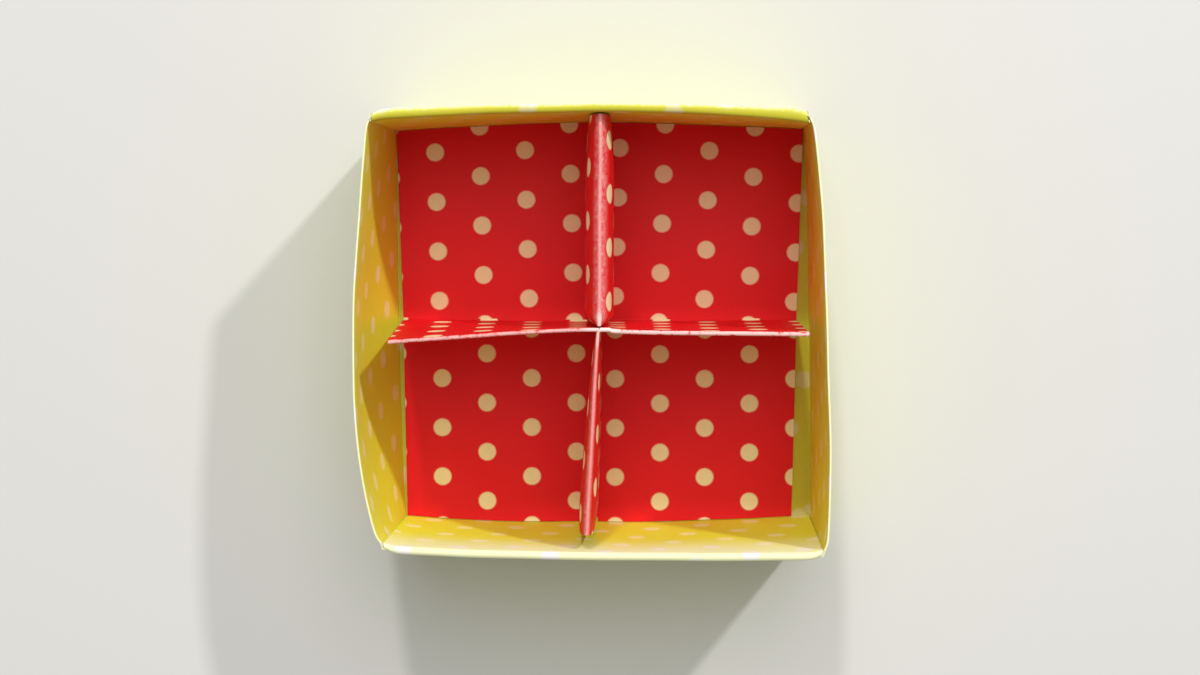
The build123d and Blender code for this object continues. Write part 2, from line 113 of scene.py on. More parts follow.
def paper(rows):
    """A leaf of paper as a closed thin solid, from a grid of (place, print place). Its
    printed face is on the side of (next row - this row) x (next place - this place)."""
    sharpest_mitre = 0.5
    tall, wide = len(rows), len(rows[0])
    points, prints, faces = [], [], []
    for i, row in enumerate(rows):
        for j, (place, spot) in enumerate(row):
            across = rows[min(i + 1, tall - 1)][j][0] - rows[max(i - 1, 0)][j][0]
            before = place - row[j - 1][0] if j else row[1][0] - place
            after = row[j + 1][0] - place if j < wide - 1 else before
            lean_before = across.cross(before).normalized()
            lean_after = across.cross(after).normalized()
            out = (lean_before + lean_after).normalized()
            out *= paper_thick / 2 / max(out.dot(lean_after), sharpest_mitre)
            points += [place + out, place - out]
            prints += [(*spot, 1.0), (*spot, 0.0)]

    def corner(i, j, back):
        return 2 * (i * wide + j) + back

    for i in range(tall - 1):
        for j in range(wide - 1):
            ring = [(i, j), (i + 1, j), (i + 1, j + 1), (i, j + 1)]
            faces.append([corner(*at, 0) for at in ring])
            faces.append([corner(*at, 1) for at in reversed(ring)])
    for i in range(tall - 1):
        for j, turn in ((0, 1), (wide - 1, -1)):
            edge = [corner(i, j, 0), corner(i, j, 1), corner(i + 1, j, 1), corner(i + 1, j, 0)]
            faces.append(edge[::turn])
    for j in range(wide - 1):
        for i, turn in ((0, 1), (tall - 1, -1)):
            edge = [corner(i, j, 0), corner(i, j + 1, 0), corner(i, j + 1, 1), corner(i, j, 1)]
            faces.append(edge[::turn])
    return points, prints, faces


def sheet_object(name, leaves):
    """One object from the leaves of a sheet. Its attribute "print" holds where each point
    lies on the flat sheet in millimetres, and 1 on the printed face."""
    crease_from = radians(32)
    points, prints, faces = [], [], []
    for leaf_points, leaf_prints, leaf_faces in leaves:
        first = len(points)
        points += [point * mm for point in leaf_points]
        prints += leaf_prints
        faces += [[first + corner for corner in face] for face in leaf_faces]
    mesh = bpy.data.meshes.new(name)
    mesh.from_pydata(points, [], faces)
    spots = mesh.attributes.new("print", "FLOAT_VECTOR", "POINT")
    spots.data.foreach_set("vector", [number for spot in prints for number in spot])
    mesh.polygons.foreach_set("use_smooth", [True] * len(mesh.polygons))
    mesh.set_sharp_from_angle(angle=crease_from)
    mesh.validate()
    made = bpy.data.objects.new(name, mesh)
    bpy.context.collection.objects.link(made)
    return made


def spaced(start, end, count):
    """Evenly spaced numbers from start to end."""
    return [start + (end - start) * i / (count - 1) for i in range(count)]


def held(value, low=0.0, high=1.0):
    """The value, held between low and high."""
    return max(low, min(high, value))


def arc(x, y, radius, start, turn, count):
    """Points round part of a circle, angles in degrees."""
    points = []
    for angle in spaced(start, start + turn, count):
        points.append((x + radius * cos(radians(angle)), y + radius * sin(radians(angle))))
    return points


def wall_length(side):
    return 2 * (half_side - (post_along if layers[side] == thick_count else thick_wall_depth))


def bow(side, s, z):
    """How far a wall stands out at s along it and height z, with a slight wave."""
    q = held(2 * s / wall_length(side), -1.0)
    fade = 1 - abs(q) ** bow_fullness[side]
    height = max(0.0, z / wall_height)
    bulge = foot_bow[side] + (rim_bow[side] - foot_bow[side]) * height
    bulge += belly[side] * sin(pi * min(1.0, height))
    wave_at = wave_apart * list(sides).index(side)
    ripple = wave * noise.noise(Vector((s / wave_long, z / wave_tall, wave_at)))
    return fade * ((1 + bow_lopsided[side] * q) * bulge + ripple)


def corner_shift(name, z):
    """How far a corner stands from its true place at height z."""
    height = z / wall_height
    return Vector(corner_lean[name]) * height + Vector((corner_foot_east[name] * (1 - height), 0))


def rubbed(x, y, z):
    """A place near an upright corner, pushed in towards the rim as a handled corner is."""
    for name, (east, north) in corners.items():
        lean = corner_shift(name, z)
        dx = x - east * half_side + north * rack * half_side - lean.x
        dy = y - north * half_side - lean.y
        push = corner_push * max(z, 0) / wall_height * exp(-(dx * dx + dy * dy) / corner_reach ** 2)
        x -= east * push
        y -= north * push
    return Vector((x, y, z))


def wall_place(side, s, n, z, straight=False):
    """Place at s along a side, n in from its outer face and height z. A straight one doesn't
    follow the wall's bulge."""
    along, inward, start, end = sides[side]
    share = held(s / wall_length(side) + 0.5)
    lean = corner_shift(start, z).lerp(corner_shift(end, z), share)
    if layers[side] == thick_count:
        slide = rack * inward.y * (half_side - (n if straight else thick_wall_depth))
    else:
        slide = -rack * along.y * s
    depth = n if straight else n - bow(side, s, z)
    spot = along * s + inward * (depth - half_side) + lean + Vector((slide, 0))
    return rubbed(spot.x, spot.y, z)


def print_spot(side, s, out):
    """Where a point lies on the flat sheet: s along the side, out from the middle."""
    along, inward = sides[side][:2]
    return tuple(along * s - inward * out)


def spring(side, s, z):
    """How far the inner paper of a wall stands in from the others."""
    if side not in spring_in:
        return 0.0
    q = held(2 * s / wall_length(side), -1.0)
    levels = []
    for middle, ends, lopsided, keeping in spring_in[side]:
        levels.append(middle + (ends + lopsided * q) * abs(q) ** keeping)
    foot, rim = levels
    return foot + (rim - foot) * held(z / wall_height)


def loosened(side, s, n, z):
    """The distance n in from the outer face, with the share of the spring it has there."""
    return n + spring(side, s, z) * (n - paper_thick / 2) / ((layers[side] - 1) * layer_pitch)


def tip_edge(side):
    """How far in from a wall's outer face the tip of the sheet starts."""
    return (layers[side] - 1) * layer_pitch + paper_thick / 2 + crease_reach


def wall_line(side):
    """Across a wall, from its floor crease over the rim to its tip crease: (in from the
    outer face, up, distance from the sheet's middle)."""
    upright_steps, rim_steps = 14, 13
    half = paper_thick / 2
    radius = (layers[side] - 1) * layer_pitch / 2
    tip_level = layer_pitch + half
    rim_print = 2 * wall_height
    over = radius * pi / 2
    stretch = (wall_height - over) / (rim_centre - half)
    line = [(crease_reach, half, half_side - crease_reach)]
    for z in spaced(half, rim_centre, upright_steps):
        line.append((half, z, half_side + (z - half) * stretch))
    for angle in spaced(180, 0, rim_steps)[1:-1]:
        turn = radians(angle)
        out = rim_print + radius * radians(90 - angle)
        line.append((half + radius + radius * cos(turn), rim_centre + radius * sin(turn), out))
    for z in spaced(rim_centre, tip_level, upright_steps):
        line.append((half + 2 * radius, z, rim_print + over + (rim_centre - z) * stretch))
    line.append((tip_edge(side), tip_level, 3 * wall_height + crease_reach))
    return line


def wall_stations(side):
    """Places along a wall, closer together towards its ends."""
    steps, crowding = 57, 0.4
    half = wall_length(side) / 2
    return [half * sin(pi / 2 * q) * (1 - crowding + crowding * abs(q)) for q in spaced(-1, 1, steps)]


def wall(side):
    """The main paper of one wall."""
    line = wall_line(side)
    rows = []
    for s in wall_stations(side):
        row = []
        for n, z, out in line:
            row.append((wall_place(side, s, loosened(side, s, n, z), z), print_spot(side, s, out)))
        rows.append(row)
    return paper(rows)


# The spare folds inside a thick wall start this far from its middle. Their lower edges keep
# this far above the diagonal of the corner square and above the floor, and no fold is lower
# than the last of these.
fold_start = 0.30
fold_above_diagonal = 0.10
fold_above_floor = 0.40
least_height = 0.01


def gusset(side, outer, inner):
    """The two spare folds inside a thick wall that turn from one of its layers to another,
    one at each end. Each ends below along its diagonal."""
    steps, upright_steps, turn_steps = 24, 8, 7
    half = paper_thick / 2
    radius = (inner - outer) * layer_pitch / 2
    first, last = outer * layer_pitch + half, inner * layer_pitch + half
    leaves = []
    for way in (-1, 1):
        rows = []
        for s in sorted(way * a for a in spaced(fold_start, wall_length(side) / 2, steps)):
            diagonal = post_height - abs(s) + fold_above_diagonal
            low = min(max(diagonal, fold_above_floor), rim_centre - least_height)
            line = [(first, z) for z in spaced(low, rim_centre, upright_steps)]
            line += arc(first + radius, rim_centre, radius, 157.5, -135, turn_steps)
            line += [(last, z) for z in spaced(rim_centre, low, upright_steps)]
            row = []
            for n, z in line:
                row.append((wall_place(side, s, n, z), print_spot(side, s, half_side + z)))
            rows.append(row)
        leaves.append(paper(rows))
    return leaves


def tip(side):
    """One corner of the sheet, flat on the floor with its point at the middle."""
    steps, inward_steps, point_at = 33, 17, 0.996
    neighbour = "north" if layers[side] == thin_count else "east"
    reach = half_side - tip_edge(neighbour)
    level = layer_pitch + paper_thick / 2 - (tip_drop if layers[side] == thin_count else 0)
    middle = Vector((0, 0, level))
    rows = []
    for s in spaced(-reach, reach, steps):
        edge_n = loosened(side, s, tip_edge(side), level) - bow(side, s, 0)
        crease = wall_place(side, s, edge_n, level, straight=True)
        row = []
        for w in spaced(0, point_at, inward_steps):
            out = 3 * wall_height + w * half_side
            row.append((crease.lerp(middle, w), print_spot(side, s * (1 - w), out)))
        rows.append(row)
    return paper(rows)


def base():
    """The middle of the sheet, flat under the box with its printed face down."""
    steps = 41
    level = paper_thick / 2
    reach = half_side - crease_reach

    def edge(side, s):
        return wall_place(side, s, crease_reach - bow(side, s, 0), level, straight=True)

    rows = []
    for u in spaced(-1, 1, steps):
        row = []
        for v in spaced(1, -1, steps):
            south, north = edge("south", u * reach), edge("north", -u * reach)
            west, east = edge("west", -v * reach), edge("east", v * reach)
            upright = south.lerp(north, (v + 1) / 2)
            level_way = west.lerp(east, (u + 1) / 2)
            low = edge("south", -reach).lerp(edge("south", reach), (u + 1) / 2)
            high = edge("north", reach).lerp(edge("north", -reach), (u + 1) / 2)
            row.append((upright + level_way - low.lerp(high, (v + 1) / 2), (u * reach, v * reach)))
        rows.append(row)
    return paper(rows)


def corner_turns(name):
    """The upright turns of the layers in one corner: the thick wall's first layer doubles
    back into its second, the thin wall's two layers run into its third and fourth, and its
    fifth doubles back into its sixth."""
    upright_steps, u_steps, bend_steps, bend = 9, 9, 6, 0.10
    east, north = corners[name]
    side = "north" if north > 0 else "south"
    side_end = -east * north * wall_length(side) / 2
    slide = -rack * north * (half_side - thick_wall_depth)
    half, p, u_turn = paper_thick / 2, layer_pitch, layer_pitch / 2
    m, n = -post_along, -thick_wall_depth
    outer_back = arc(-u_turn - half, -u_turn - half, u_turn, 90, -180, u_steps)
    lines = [[(m, -half)] + outer_back + [(m, -p - half)]]
    for thick_layer, thin_layer in ((2, 0), (3, 1)):
        x, y = -thin_layer * p - half, -thick_layer * p - half
        lines.append([(m, y)] + arc(x - bend, y - bend, bend, 90, -90, bend_steps) + [(x, n)])
    inner_back = arc(m, -4.5 * p - half, u_turn, 90, -180, u_steps)
    lines.append(inner_back)
    leaves = []
    for line in lines:
        rows = []
        for x, y in line:
            row = []
            for z in spaced(0, post_height, upright_steps):
                out = half_side + min(z, wall_height)
                if y > x:
                    spot = (east * (half_side + x), north * out)
                else:
                    spot = (east * out, north * (half_side + y))
                depth = loosened(side, side_end, -y, z) if line is inner_back else -y
                place = Vector((east * (half_side + x) + slide, north * (half_side - depth)))
                place += corner_shift(name, z)
                row.append((rubbed(place.x, place.y, z), spot))
            rows.append(row)
        if east * north > 0:
            rows.reverse()
        leaves.append(paper(rows))
    return leaves


box_leaves = [base()]
for side in sides:
    box_leaves.append(wall(side))
    box_leaves.append(tip(side))
    if layers[side] == thick_count:
        box_leaves += gusset(side, 1, 4) + gusset(side, 2, 3)
for name in corners:
    box_leaves += corner_turns(name)
box = sheet_object("box_sheet", box_leaves)


class Field:
    """A value that changes over a surface: one output socket of a material. Sums and
    products of fields add their Math nodes, and node() adds any other kind."""

    def __init__(self, tree, socket=None):
        self.tree = tree
        self.socket = socket

    def node(self, kind, settings={}, sockets={}, output=0):
        made = self.tree.nodes.new(kind)
        for name, value in settings.items():
            setattr(made, name, value)
        for name, value in sockets.items():
            if isinstance(value, Field):
                self.tree.links.new(value.socket, made.inputs[name])
            else:
                made.inputs[name].default_value = value
        return Field(self.tree, made.outputs[output])

    def maths(self, operation, *values):
        return self.node("ShaderNodeMath", {"operation": operation}, dict(enumerate(values)))

    def __add__(self, other):
        return self.maths("ADD", self, other)

    def __sub__(self, other):
        return self.maths("SUBTRACT", self, other)

    def __rsub__(self, other):
        return self.maths("SUBTRACT", other, self)

    def __mul__(self, other):
        return self.maths("MULTIPLY", self, other)

    def __truediv__(self, other):
        return self.maths("DIVIDE", self, other)

    def __abs__(self):
        return self.maths("ABSOLUTE", self)

    def __round__(self):
        return self.maths("ROUND", self)

    __radd__ = __add__
    __rmul__ = __mul__

    def larger(self, other):
        return self.maths("MAXIMUM", self, other)

    def smaller(self, other):
        return self.maths("MINIMUM", self, other)

    def ramp(self, low, high):
        """0 where this is below low and 1 where it is above high, eased between them."""
        sockets = {"Value": self, "From Min": low, "From Max": high}
        return self.node("ShaderNodeMapRange", {"interpolation_type": "SMOOTHSTEP"}, sockets)

    def noise(self, where, scale, detail, rough=0.55):
        sockets = {"Vector": where, "Scale": scale, "Detail": detail, "Roughness": rough}
        return self.node("ShaderNodeTexNoise", {}, sockets)

    def colour(self, red, green, blue):
        return self.node("ShaderNodeCombineColor", {}, {0: red, 1: green, 2: blue})

    # A Mix node's colours are its inputs 6 and 7 and its output 2
    def blend(self, mask, under, over):
        """One colour over another where the mask is 1."""
        sockets = {"Factor": mask, 6: under, 7: over}
        return self.node("ShaderNodeMix", {"data_type": "RGBA"}, sockets, output=2)

    def tinted(self, colour, tint):
        """One colour times another."""
        settings = {"data_type": "RGBA", "blend_type": "MULTIPLY"}
        return self.node("ShaderNodeMix", settings, {"Factor": 1.0, 6: colour, 7: tint}, output=2)


def dots(print_x, print_y, turn, column_pitch, row_pitch, first, radius, soft, wobble):
    """Mask of a print of round dots in columns, each second column half a row higher."""
    c, s = cos(radians(turn)), sin(radians(turn))
    across = print_x * c + print_y * s - first[0]
    up = print_y * c - print_x * s - first[1]
    column = round(across / column_pitch)
    up = up - column.maths("PINGPONG", column, 1.0) * (row_pitch / 2)
    row = round(up / row_pitch)
    side_way = across - column * column_pitch
    up_way = up - row * row_pitch
    distance = up.maths("SQRT", side_way * side_way + up_way * up_way) + wobble
    return 1 - distance.ramp(radius - soft, radius + soft)


def printed_paper(name, ground, dot_colour, wear_and_highlight_colour, wear_and_highlight_dot, back_colour,
                  dot_print, wear_and_painted_light, gloss):
    """Smooth printed paper. dot_print is the lattice of its dots, the function before gloss gives
    how much of the print is rubbed off or painted pale as a highlight or sheen at a place on the
    sheet and how much painted shade darkens it there, and gloss how strongly it shines."""
    material = bpy.data.materials.new(name)
    material.use_nodes = True
    tree = material.node_tree
    shader = tree.nodes["Principled BSDF"]
    look = Field(tree)
    spot = look.node("ShaderNodeAttribute", {"attribute_name": "print"}, output="Vector")
    print_x, print_y, face = (look.node("ShaderNodeSeparateXYZ", {}, {0: spot}, axis) for axis in "XYZ")
    where = look.node("ShaderNodeTexCoord", output="Object")
    fibre = look.noise(where, scale=2600, detail=4)
    cloud = look.noise(where, scale=130, detail=2)
    grit = look.noise(where, scale=5200, detail=2, rough=0.7)
    scuff = look.noise(where, scale=1500, detail=3, rough=0.65)
    dot = dots(print_x, print_y, wobble=(fibre - 0.5) * 0.10, **dot_print)
    shade = cloud * 0.10 + fibre * 0.12 + 0.89
    ink = look.tinted(look.blend(dot, ground, dot_colour), look.colour(shade, shade, shade))
    # The first mask is worn print together with painted highlight and sheen, the second is painted shade
    wear_and_highlight, painted_shade = wear_and_painted_light(print_x, print_y, grit, scuff)
    # Painted shade darkens the print towards brown
    dim = 1 - painted_shade
    ink = look.tinted(ink, look.colour(dim, 1 - painted_shade * 1.3, dim))
    # Where the print is worn, and where a highlight or sheen is painted, it turns pale
    ink = look.blend(wear_and_highlight, ink, look.blend(dot, wear_and_highlight_colour, wear_and_highlight_dot))
    ink = look.blend(face.ramp(0.4, 0.6), back_colour, ink)
    tree.links.new(ink.socket, shader.inputs["Base Color"])
    shader.inputs["Specular IOR Level"].default_value = gloss
    rough = 0.42 + fibre * 0.16 + wear_and_highlight * 0.25
    tree.links.new(rough.socket, shader.inputs["Roughness"])
    height = fibre * 0.6 + cloud * 0.4 - wear_and_highlight * 0.4
    bump = look.node("ShaderNodeBump", {}, {"Strength": 0.25, "Distance": 0.04 * mm, "Height": height})
    tree.links.new(bump.socket, shader.inputs["Normal"])
    return material


def rim_wear_and_painted_light(print_x, print_y, grit, scuff):
    """The rim's fold, a square round the middle of the sheet, has lost most of its print and
    carries a painted highlight; in the south a painted highlight runs down the inner side too.
    Just inside the north rim and on the tips of the sheet, painted shade darkens the print.
    Lengths are millimetres on the sheet."""
    out = abs(print_x).larger(abs(print_y))
    is_north = (print_y / out).ramp(0.5, 1.0)
    is_south = (print_y / (out * -1)).ramp(0.5, 1.0)
    ragged = (grit - 0.5) * 0.4 + (scuff - 0.5) * 0.7
    beyond = out - 2 * wall_height
    outer_side = (beyond + ragged * 0.6).ramp(-0.9, -0.4)
    inner_side = (beyond + ragged + is_north * 0.45 - is_south * 0.75).ramp(0.0, 0.40)
    # Painted highlight, strong down the inner side of the south wall and faint round the rest of the rim
    painted_highlight = (1 - (beyond + ragged).ramp(1.0, 14.0)) * (is_south * 0.68 + 0.08)
    # The band round the rim: worn print with a painted highlight on it
    wear_and_highlight = outer_side * (1 - inner_side) * 0.88
    wear_and_highlight = wear_and_highlight.larger(painted_highlight * outer_side) * (1 - is_north * beyond.ramp(-0.3, 0.1))
    # Painted shade on the inner side of the north wall just below the rim
    shaded = beyond.ramp(-0.5, 0.0) * (1 - beyond.ramp(1.0, 3.0)) * is_north * 0.26
    # Painted shade on the tips of the sheet, in the narrow gaps between the floor panels and the walls
    tips = (out - 3 * wall_height).ramp(-0.8, 0.3) * 0.30
    return wear_and_highlight, shaded + tips


yellow = printed_paper(
    "yellow_paper",
    ground=(0.79, 0.825, 0.05, 1),
    dot_colour=(0.88, 0.90, 0.34, 1),
    wear_and_highlight_colour=(0.90, 0.91, 0.62, 1),
    wear_and_highlight_dot=(0.90, 0.86, 0.88, 1),
    back_colour=(0.80, 0.78, 0.70, 1),
    dot_print={"turn": -45, "column_pitch": 5.8, "row_pitch": 6.42, "first": (3.9, 0.07),
               "radius": 1.1, "soft": 0.25},
    wear_and_painted_light=rim_wear_and_painted_light,
    gloss=0.25,
)
box.data.materials.append(yellow)
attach(box, "root")
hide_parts("outer_box")


# The divider is a second square sheet, two thirds as wide, that only stands in the box.
# Its four edges lie on the floor, and its middle is pinched up into a cross of four thin
# arms. The paper left over in the middle is folded away inside the north arm.
divider_sheet = 100.0
panel_clearance = 0.65
seat = layer_pitch + paper_thick
divider_height = divider_sheet / 2 - (half_side - thick_wall_depth - panel_clearance)
ridge_top = seat + divider_height
tuck_pitch = 0.24
pair_radius = (tuck_pitch + paper_thick) / 2
north_rise = 0.10
arm_setback = 0.45
crossing = Vector((-0.30, 0.50))
arm_crossing = Vector((crossing.x, crossing.y - arm_setback))

# Each arm: the way out along it, where its feet start and the gap it leaves to the wall, its
# half width at the foot and at its widest, how late it opens, how far it swings and how far
# its top leans, both to the north or east, how late it leans, how far its ridge is cut back
# and half the ridge's thickness
arms = {
    "north": {"out": (0, 1), "start": 0.0, "gap": 0.02, "foot": 1.70, "width": 1.80, "opening": 0.6,
              "swing": 0.0, "lean": 0.15, "onset": 1.0, "back": -0.08, "ridge": 0.17},
    "east": {"out": (1, 0), "start": 1.30, "gap": 0.90, "foot": 0.40, "width": 0.25, "opening": 1.0,
             "swing": 0.0, "lean": -0.52, "onset": 0.30, "back": 0.62, "ridge": 0.26},
    "south": {"out": (0, -1), "start": 0.67, "gap": 0.27, "foot": 1.24, "width": 1.16, "opening": 0.5,
              "swing": -1.35, "lean": -0.20, "onset": 0.1, "back": 0.85, "ridge": 0.17},
    "west": {"out": (-1, 0), "start": 1.30, "gap": 0.47, "foot": 0.45, "width": 0.30, "opening": 1.0,
             "swing": 0.0, "lean": -1.52, "onset": 1.35, "back": 0.32, "ridge": 0.23},
}
# The wide arms are narrower again at their ends: by what share, over what length, how late
end_pinch = {"north": (0.26, 8.0, 1.6), "south": (0.24, 4.0, 2.0)}
nose_length = 1.05
arch_depth = 1.9
arm_wave = 0.10
arm_wave_long = 8
arm_wave_tall = 10
# On the flat sheet the foot creases lie this far to both sides of the lines of the ridges
foot_print = 24.1
print_setback = 0.35


def arm_ways(name):
    """The way out along an arm and the way to its right."""
    out = Vector(arms[name]["out"])
    return out, Vector((out.y, -out.x))


def arm_start(name):
    return crossing if name in ("north", "south") else arm_crossing


def arm_reach(name):
    """How far the arm's foot runs from the crossing."""
    out = arm_ways(name)[0]
    inner_face = half_side - (thick_wall_depth if out.y else thin_wall_depth)
    return inner_face - arms[name]["gap"] - out.dot(arm_start(name))


def arm_share(name, r):
    """0 where the arm's feet start, 1 at its outer end."""
    start = arms[name]["start"]
    return max(0.0, (r - start) / (arm_reach(name) - start))


def arm_opened(name, r):
    """0 where the arm is shut, 1 where it has its full width."""
    share = held(r / nose_length) if name == "north" else arm_share(name, r)
    opened = share ** arms[name]["opening"]
    if name in end_pinch:
        pinch, length, lateness = end_pinch[name]
        opened -= pinch * max(0.0, (r - arm_reach(name)) / length + 1) ** lateness
    return opened


def arm_size(name, r):
    """Half width at the foot and at the widest, at distance r along the arm."""
    opened = arm_opened(name, r)
    foot, width = arms[name]["foot"], arms[name]["width"]
    return pair_radius + (foot - pair_radius) * opened, pair_radius + (width - pair_radius) * opened


def arm_place(name, r, c, z):
    """Place at r along an arm, c to the right of its middle and height z."""
    facts = arms[name]
    out, right = arm_ways(name)
    share = arm_share(name, r)
    height = (z - seat) / divider_height
    sideways = facts["swing"] * share + facts["lean"] * share ** facts["onset"] * height
    wave_at = 3.0 + out.x + 2 * out.y
    ripple = noise.noise(Vector((r / arm_wave_long, z / arm_wave_tall, wave_at)))
    ripple *= arm_wave * min(1, height * 2) * share
    back = facts["back"] * height * min(1.0, 3 * share)
    spot = arm_start(name) + out * (r - back) + right * (c + sideways * (right.x + right.y) + ripple)
    return Vector((spot.x, spot.y, z))


def arm_print(name, r, w):
    """Where a point of an arm lies on the flat sheet, w to the right of the ridge."""
    out, right = arm_ways(name)
    along = (arm_start(name) + out * r).dot(out) + foot_print - print_setback
    return tuple(out * along + right * w)


def arm_line(name, r, with_feet):
    """Across an arm from its right foot over the ridge to its left foot: (to the right,
    up, distance on the sheet from the ridge)."""
    steps, ridge_crowding = 34, 2.4
    half = paper_thick / 2
    foot, width = arm_size(name, r)
    top = ridge_top + (north_rise if name == "north" else 0.0) - half
    level = seat + half
    fold = arms[name]["ridge"] - half
    line = []
    for q in spaced(0, 1, steps):
        depth = (top - level) * q ** ridge_crowding
        rounding = (1 - (1 - min(1.0, depth / fold)) ** 2) ** 0.5
        c = fold * rounding + (width - half - fold) * (1 - exp(-depth / arch_depth))
        c += (foot - width) * (depth / divider_height) ** 2
        line.append((c, top - depth))
    walked = [0.0]
    for (c0, z0), (c1, z1) in zip(line, line[1:]):
        walked.append(walked[-1] + ((c1 - c0) ** 2 + (z1 - z0) ** 2) ** 0.5)
    shrink = foot_print / walked[-1] if name in ("east", "west") else 1.0
    side = [(c, z, w * shrink) for (c, z), w in zip(line, walked)]
    if with_feet:
        side.append((foot + crease_reach, level, foot_print + crease_reach))
    return side[:0:-1] + [(-c, z, -w) for c, z, w in side]


def arm_leaf(name, stations, with_feet):
    """The paper of an arm, at the given distances along it."""
    rows = []
    for r in stations:
        row = []
        for c, z, w in arm_line(name, r, with_feet):
            row.append((arm_place(name, r, c, z), arm_print(name, r, w)))
        rows.append(row)
    return paper(rows)


def arm(name):
    """One arm, from the start of its feet to its outer end."""
    steps, start_crowding = 57, 1.5
    start, reach = arms[name]["start"], arm_reach(name)
    stations = [start + (reach - start) * q ** start_crowding for q in spaced(0, 1, steps)]
    return arm_leaf(name, stations, with_feet=True)


def plies_to_crossing(name, first):
    """The two plies of an arm, from the crossing to the start of its feet."""
    steps = 5
    return arm_leaf(name, spaced(first, arms[name]["start"], steps), with_feet=False)


def tuck(place, radius, drop):
    """One fold of the spare paper inside the north arm, ending below on its diagonal."""
    steps, upright_steps, turn_steps = 21, 8, 5
    tuck_start, tuck_print = 1.2, 25
    middle = radius - paper_thick / 2
    top = ridge_top + north_rise - drop
    rows = []
    for r in spaced(tuck_start, arm_reach("north"), steps):
        low = min(seat + r, top - least_height)
        line = [(place + middle, z) for z in spaced(low, top, upright_steps)]
        line += arc(place, top, middle, 30, 120, turn_steps)
        line += [(place - middle, z) for z in spaced(top, low, upright_steps)]
        row = []
        for c, z in line:
            row.append((arm_place("north", r, c, z), arm_print("north", r, tuck_print - z)))
        rows.append(row)
    return paper(rows)


# A floor panel between two arms: the arm it is on the right of, the arm it is on the left
# of, the gaps from its outer corner to the walls, and how its print is turned and shifted
floor_panels = {
    "north_east": ("north", "east", (-0.50, 0.77), -1.8, (24.09, 23.555)),
    "south_east": ("east", "south", (2.08, 0.57), 0.0, (23.93, -23.40)),
    "south_west": ("south", "west", (0.30, 0.37), 0.1, (-23.47, -23.536)),
    "north_west": ("west", "north", (0.28, 0.77), 1.5, (-23.236, 23.65)),
}
panel_edge_gap = 0.08
panel_lift = 0.10
panel_wave = 0.12
panel_wave_long = 9
panel_wave_at = 5.0


def foot_place(name, side, r):
    """Plan point beside an arm's foot, on its right for 1 and on its left for -1."""
    out, right = arm_ways(name)
    swing = arms[name]["swing"] * arm_share(name, r) * (right.x + right.y)
    return arm_start(name) + out * r + right * (side * (arm_size(name, r)[0] + crease_reach) + swing)


def floor_panel(name):
    """A flat part of the sheet that lies on the floor of one compartment. Its outer edge
    follows the foot of the thick wall."""
    steps = 25
    right_of, left_of, gap, turn, shift = floor_panels[name]
    turn_cos, turn_sin = cos(radians(turn)), sin(radians(turn))
    east, north = corners[name]
    side = "north" if north > 0 else "south"
    a0, a1 = (foot_place(right_of, 1, r) for r in (arms[right_of]["start"], arm_reach(right_of)))
    b0, b1 = (foot_place(left_of, -1, r) for r in (arms[left_of]["start"], arm_reach(left_of)))
    upright_first = right_of in ("north", "south")
    inner = Vector((a0.x, b0.y)) if upright_first else Vector((b0.x, a0.y))
    wall_x, wall_y = half_side - thin_wall_depth, half_side - thick_wall_depth
    outer = Vector((east * (wall_x - gap[0]) - rack * north * wall_y, north * (wall_y - gap[1])))

    def place(u, v):
        return inner.lerp(a1, u).lerp(b1.lerp(outer, u), v)

    rows = []
    for u in spaced(0, 1, steps):
        row = []
        for v in spaced(0, 1, steps):
            spot = place(u, v)
            outward = u if upright_first else v
            edge = place(1.0, v) if upright_first else place(u, 1.0)
            s = -edge.x * north - rack * wall_y
            foot_n = thick_wall_depth + spring(side, s, 0) + panel_edge_gap
            spot.y += (wall_place(side, s, foot_n, seat).y - edge.y) * outward ** 2
            wave_spot = Vector((spot.x / panel_wave_long, spot.y / panel_wave_long, panel_wave_at))
            lift = panel_wave * noise.noise(wave_spot) + panel_lift
            lift *= min(1.0, 4 * u) * min(1.0, 4 * v)
            on_sheet = (spot.x * turn_cos + spot.y * turn_sin + shift[0],
                        spot.y * turn_cos - spot.x * turn_sin + shift[1])
            row.append((Vector((*spot, seat + paper_thick / 2 + max(lift, 0))), on_sheet))
        rows.append(row)
    return paper(list(zip(*rows)))


divider_leaves = [arm(name) for name in arms]
divider_leaves += [floor_panel(name) for name in floor_panels]
# Inside the north arm lie a wide second layer and, under it, three small folds side by side:
# their places across the arm, their half widths, and how far they lie below its ridge
divider_leaves.append(tuck(0, 0.80, 1.90))
for place, drop in ((-2 * tuck_pitch, 2.9), (0.0, 1.5), (2 * tuck_pitch, 2.9)):
    divider_leaves.append(tuck(place, pair_radius, drop))
for name, first in (("east", 0.05), ("west", 0.05), ("south", 0.35)):
    divider_leaves.append(plies_to_crossing(name, first))
divider = sheet_object("divider_sheet", divider_leaves)


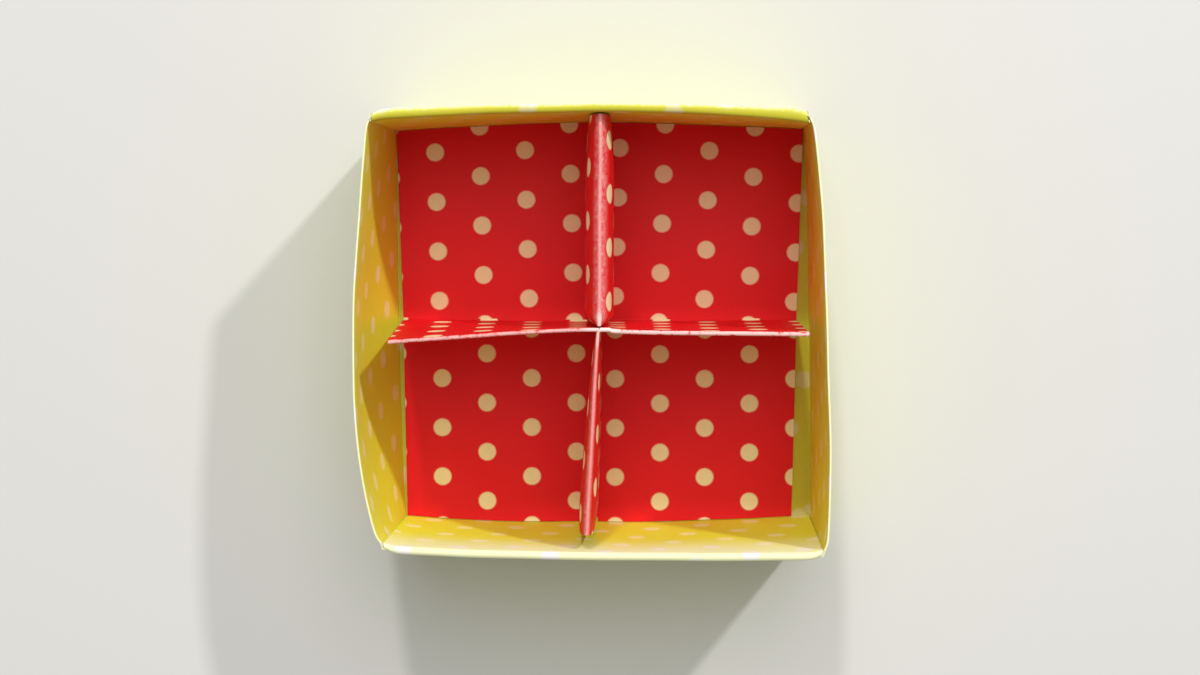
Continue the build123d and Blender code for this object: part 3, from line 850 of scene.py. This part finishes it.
def ridge_wear_and_painted_sheen(print_x, print_y, grit, scuff):
    """The ridges have a thin line rubbed bare, broad and ragged where they cross, and beside
    it, on the two wide arms, a paler strip, partly print grown pale and partly painted sheen. No
    painted shade. Lengths are millimetres on the sheet."""
    crossing_print = 24.4
    across = abs(print_x)
    upright = abs(print_y)
    from_ridge = across.smaller(upright)
    along_ridge = across.larger(upright)
    near_crossing = 1 - abs(along_ridge - crossing_print).ramp(0.7, 2.2)
    level_arms = (across - upright).ramp(0.0, 1.0)
    eastern = print_x.ramp(0.0, 1.0) * level_arms
    north = print_y.ramp(-1.0, 1.0)
    ragged = (grit - 0.5) * 0.7 + (scuff - 0.5) * (eastern * 0.9 + level_arms * 0.5 + 0.6)
    line = from_ridge + ragged - near_crossing * 0.22 - eastern * 0.12 - level_arms * 0.08
    bare = near_crossing * 0.30 + eastern * 0.18 + level_arms * 0.10 + north * 0.10 + 0.42
    line = (1 - line.ramp(-0.06, 0.34)) * bare
    # A paler strip beside the wide arms' ridges: partly worn print, partly painted sheen
    beside = (print_x * (1.1 - north * 0.65)).larger(print_x * -0.65)
    pale = (1 - beside.ramp(0.05, 1.0)) * (1 - level_arms)
    pale = pale * ((grit - 0.5) * 0.7 + (scuff - 0.5) * 1.1 + 0.25)
    return line.larger(pale), 0.0


red = printed_paper(
    "red_paper",
    ground=(0.76, 0.006, 0.012, 1),
    dot_colour=(0.89, 0.76, 0.47, 1),
    wear_and_highlight_colour=(0.93, 0.72, 0.70, 1),
    wear_and_highlight_dot=(0.95, 0.92, 0.88, 1),
    back_colour=(0.80, 0.72, 0.68, 1),
    dot_print={"turn": 0, "column_pitch": 5.83, "row_pitch": 6.42, "first": (2.4, 1.42),
               "radius": 1.14, "soft": 0.14},
    wear_and_painted_light=ridge_wear_and_painted_sheen,
    gloss=0.20,
)
divider.data.materials.append(red)
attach(divider, "root")
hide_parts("divider")

# The setting is a plain pale floor, with a wide soft lamp overhead, two small ones further
# off to the north and north-east, and an even pale sky.
floor_half = 1.5
floor_level = -0.02 * mm
floor_points = [(east * floor_half, north * floor_half, floor_level) for east, north in corners.values()]
floor_mesh = bpy.data.meshes.new("floor")
floor_mesh.from_pydata(floor_points, [], [(0, 1, 2, 3)])
floor = bpy.data.objects.new("floor", floor_mesh)
bpy.context.collection.objects.link(floor)
floor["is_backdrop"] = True
floor_paint = bpy.data.materials.new("floor_paint")
floor_paint.use_nodes = True
floor_shader = floor_paint.node_tree.nodes["Principled BSDF"]
floor_shader.inputs["Base Color"].default_value = (0.66, 0.66, 0.65, 1)
floor_shader.inputs["Roughness"].default_value = 0.8
floor_mesh.materials.append(floor_paint)

sky = bpy.data.worlds.new("sky")
bpy.context.scene.world = sky
sky.use_nodes = True
sky_light = sky.node_tree.nodes["Background"]
sky_light.inputs["Color"].default_value = (1.0, 0.98, 0.96, 1)
sky_light.inputs["Strength"].default_value = 0.40


def softbox(name, place, size, power):
    """A round soft lamp that shines at the middle of the box."""
    lamp_data = bpy.data.lights.new(name, "AREA")
    lamp_data.shape = "DISK"
    lamp_data.size = size
    lamp_data.energy = power
    lamp_data.color = (1.0, 0.98, 0.95)
    lamp = bpy.data.objects.new(name, lamp_data)
    lamp.location = place
    lamp.rotation_euler = (-Vector(place)).to_track_quat("-Z", "Y").to_euler()
    bpy.context.collection.objects.link(lamp)


softbox("overhead_softbox", place=(0.02, 0.234, 0.552), size=0.42, power=1.30)
softbox("north_softbox", place=(-0.117, 0.796, 0.848), size=0.08, power=4.0)
softbox("north_east_softbox", place=(0.585, 0.70, 0.735), size=0.06, power=6.0)

# The camera hangs over the box, a little north of its middle, and looks almost straight
# down at it with the north side up.
camera_data = bpy.data.cameras.new("camera")
camera_data.sensor_width = 36.0
camera_data.lens = 66.75
camera = bpy.data.objects.new("camera", camera_data)
camera.location = (-0.2 * mm, 10.1 * mm, 290 * mm)
camera.rotation_euler = (radians(-2.37), 0, 0)
bpy.context.collection.objects.link(camera)
bpy.context.scene.camera = camera
bpy.context.scene.view_settings.view_transform = "Standard"

boxes = {"cad": cad_box, "scene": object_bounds()}
{name: [list(corner) for corner in corners_] for name, corners_ in boxes.items()}
